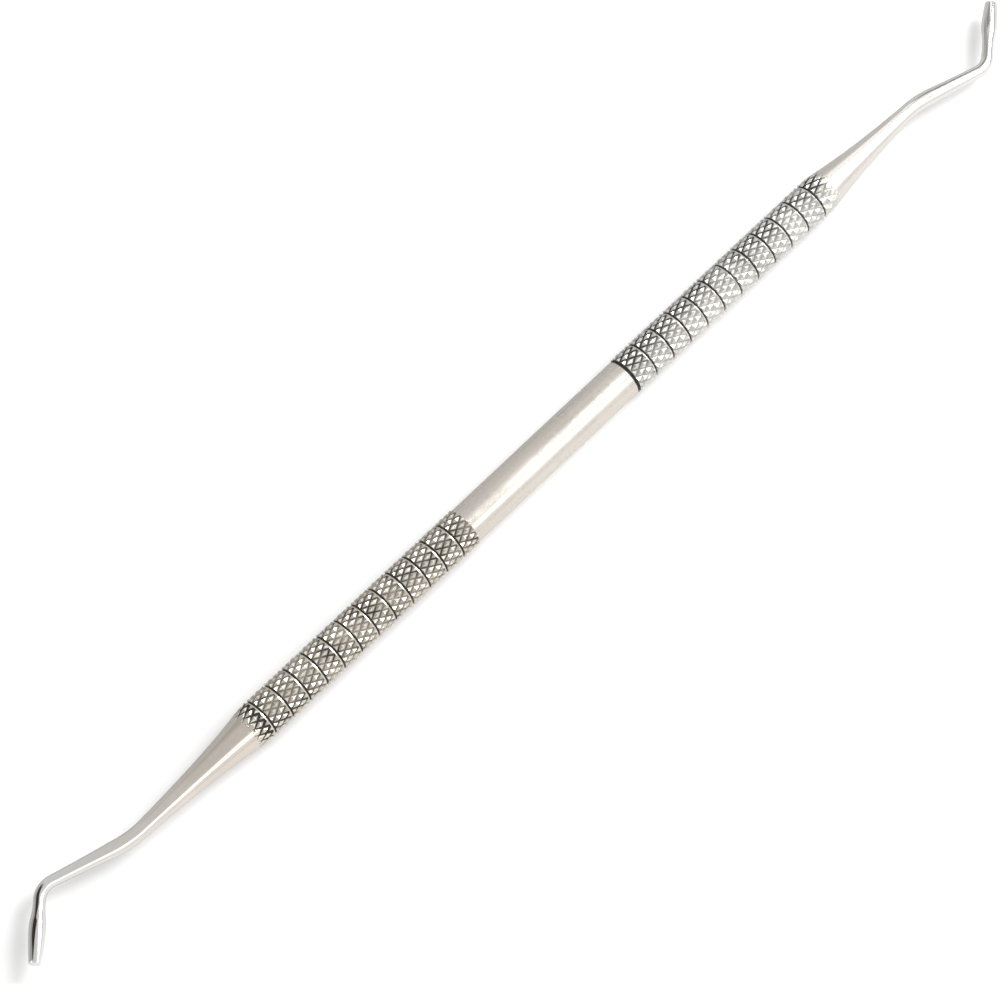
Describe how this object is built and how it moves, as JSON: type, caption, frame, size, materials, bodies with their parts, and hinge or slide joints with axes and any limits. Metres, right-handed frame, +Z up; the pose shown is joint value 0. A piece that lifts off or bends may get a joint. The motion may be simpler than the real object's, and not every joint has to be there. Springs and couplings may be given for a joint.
{
  "type": "amalgam plugger",
  "caption": "Slim metal dental hand instrument with ringed diamond-knurled grips, a smooth barrel between them and bent, tapering shanks that end in small flat-faced packing tips.",
  "frame": {"origin": "on the surface that the handle lies on, under the middle of the overall length", "axes": "+X along the handle towards the end with the shorter cove, +Z up; both ends bend in the level plane through the handle's axis"},
  "size_m": [0.177, 0.0075, 0.0055],
  "materials": {
    "stainless_steel": "satin grips and barrel, polished shanks and tips"
  },
  "bodies": {
    "root": {"amalgam_plugger": "stainless_steel"}
  },
  "joints": []
}
